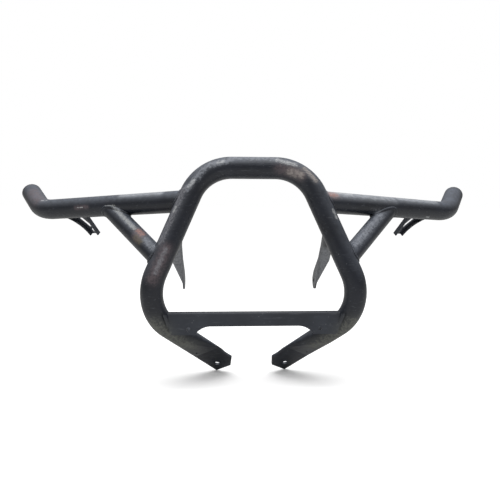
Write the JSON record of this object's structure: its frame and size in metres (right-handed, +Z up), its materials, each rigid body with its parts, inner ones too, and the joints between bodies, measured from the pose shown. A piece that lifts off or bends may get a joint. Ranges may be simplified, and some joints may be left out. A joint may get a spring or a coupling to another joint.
{
  "type": "atv front bumper",
  "caption": "Tubular front guard: a leaned hoop with swept side wings, braces, rear arms, a lower cross plate and slotted fender brackets.",
  "frame": {"origin": "midway between the bolt holes in the flat ends of the two legs", "axes": "+X to the guard's right as seen from the front, +Y back towards the vehicle, +Z up"},
  "size_m": [0.8604, 0.2622, 0.3639],
  "materials": {
    "black_paint": "worn satin",
    "plug_plastic": "matt"
  },
  "bodies": {
    "root": {"hoop_tube": "black_paint", "left_arm_weld": "black_paint", "left_brace_lower_weld": "black_paint", "left_brace_tube": "black_paint", "left_brace_upper_weld": "black_paint", "left_bracket_weld": "black_paint", "left_end_plug": "plug_plastic", "left_fender_bracket": "black_paint", "left_plate_weld": "black_paint", "left_rear_arm": "black_paint", "left_wing_tube": "black_paint", "left_wing_weld": "black_paint", "lower_cross_plate": "black_paint", "right_arm_weld": "black_paint", "right_brace_lower_weld": "black_paint", "right_brace_tube": "black_paint", "right_brace_upper_weld": "black_paint", "right_bracket_weld": "black_paint", "right_end_plug": "plug_plastic", "right_fender_bracket": "black_paint", "right_plate_weld": "black_paint", "right_rear_arm": "black_paint", "right_wing_tube": "black_paint", "right_wing_weld": "black_paint"}
  },
  "joints": []
}
